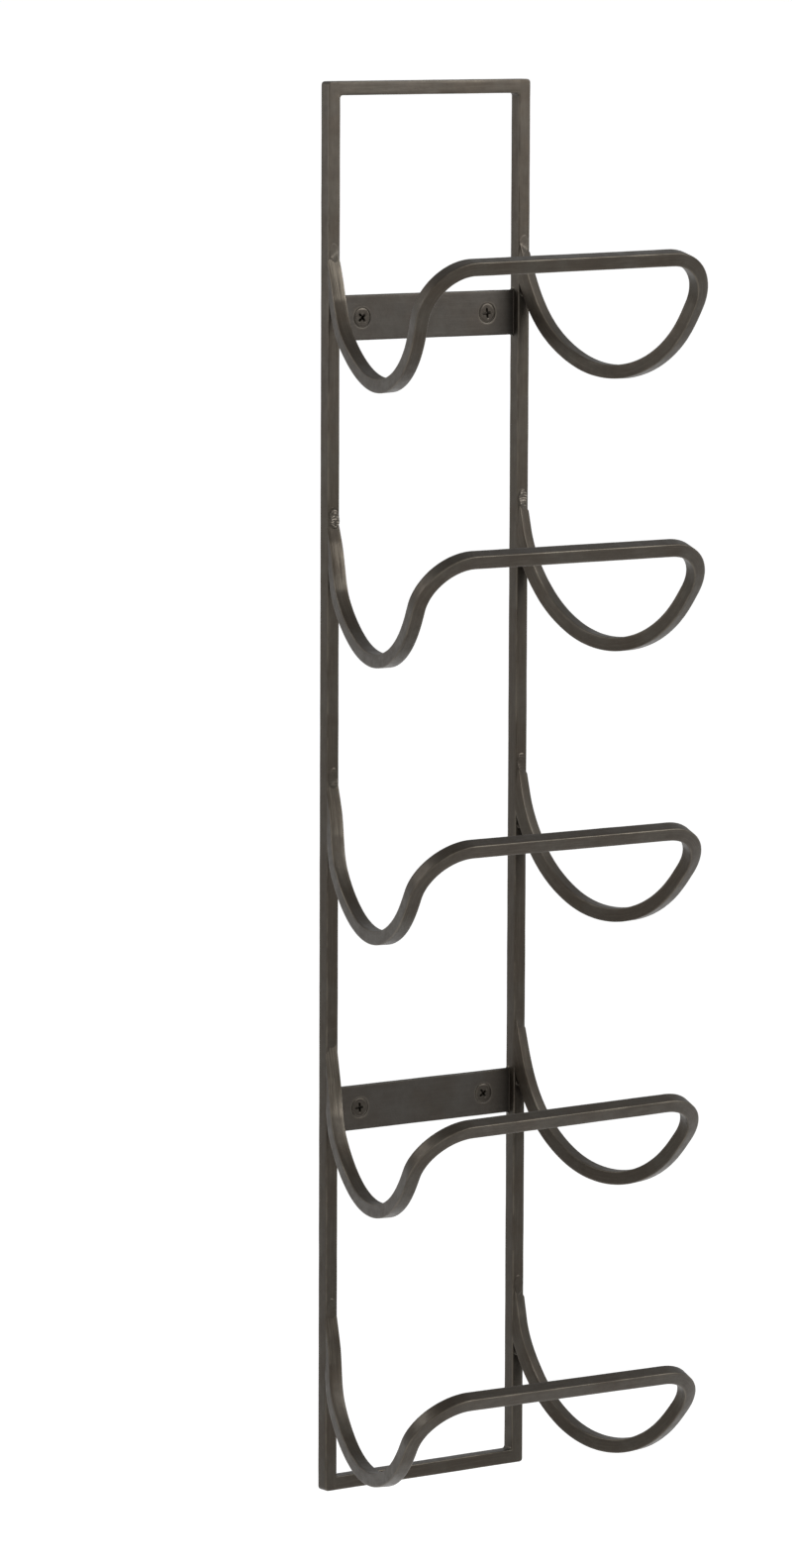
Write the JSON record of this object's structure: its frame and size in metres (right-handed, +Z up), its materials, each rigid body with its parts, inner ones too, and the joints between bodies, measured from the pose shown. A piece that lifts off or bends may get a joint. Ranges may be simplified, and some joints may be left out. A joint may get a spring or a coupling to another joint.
{
  "type": "wine rack",
  "caption": "Wall-hung welded rack of square bronzed steel bar: a tall narrow ladder frame with bent cradles that each hold a bottle on its side.",
  "frame": {"origin": "centre of the four wall screws' pattern, on the wall plane, which is the frame's back", "axes": "+X to the right seen from the front, +Y into the wall, +Z up"},
  "size_m": [0.1531, 0.1354, 0.6119],
  "materials": {
    "bronzed_bar": "brushed dark bronze patina under satin lacquer, lighter along worn edges",
    "bronzed_plate": "dark bronze patina, rolled strip, satin",
    "bronzed_weld": "ground weld metal under dark patina, slightly brighter than the bar",
    "screw_steel": "dark coated steel screw, satin"
  },
  "bodies": {
    "root": {"left_upright": "bronzed_bar", "right_upright": "bronzed_bar", "top_crossbar": "bronzed_bar", "bottom_crossbar": "bronzed_bar", "bottle_cradle_1": "bronzed_bar", "bottle_cradle_2": "bronzed_bar", "bottle_cradle_3": "bronzed_bar", "bottle_cradle_4": "bronzed_bar", "bottle_cradle_5": "bronzed_bar", "upper_wall_plate": "bronzed_plate", "lower_wall_plate": "bronzed_plate", "frame_welds": "bronzed_weld", "upper_plate_welds": "bronzed_weld", "lower_plate_welds": "bronzed_weld", "cradle_welds_1": "bronzed_weld", "cradle_welds_2": "bronzed_weld", "cradle_welds_3": "bronzed_weld", "cradle_welds_4": "bronzed_weld", "cradle_welds_5": "bronzed_weld", "upper_wall_screws": "screw_steel", "lower_wall_screws": "screw_steel"}
  },
  "joints": []
}
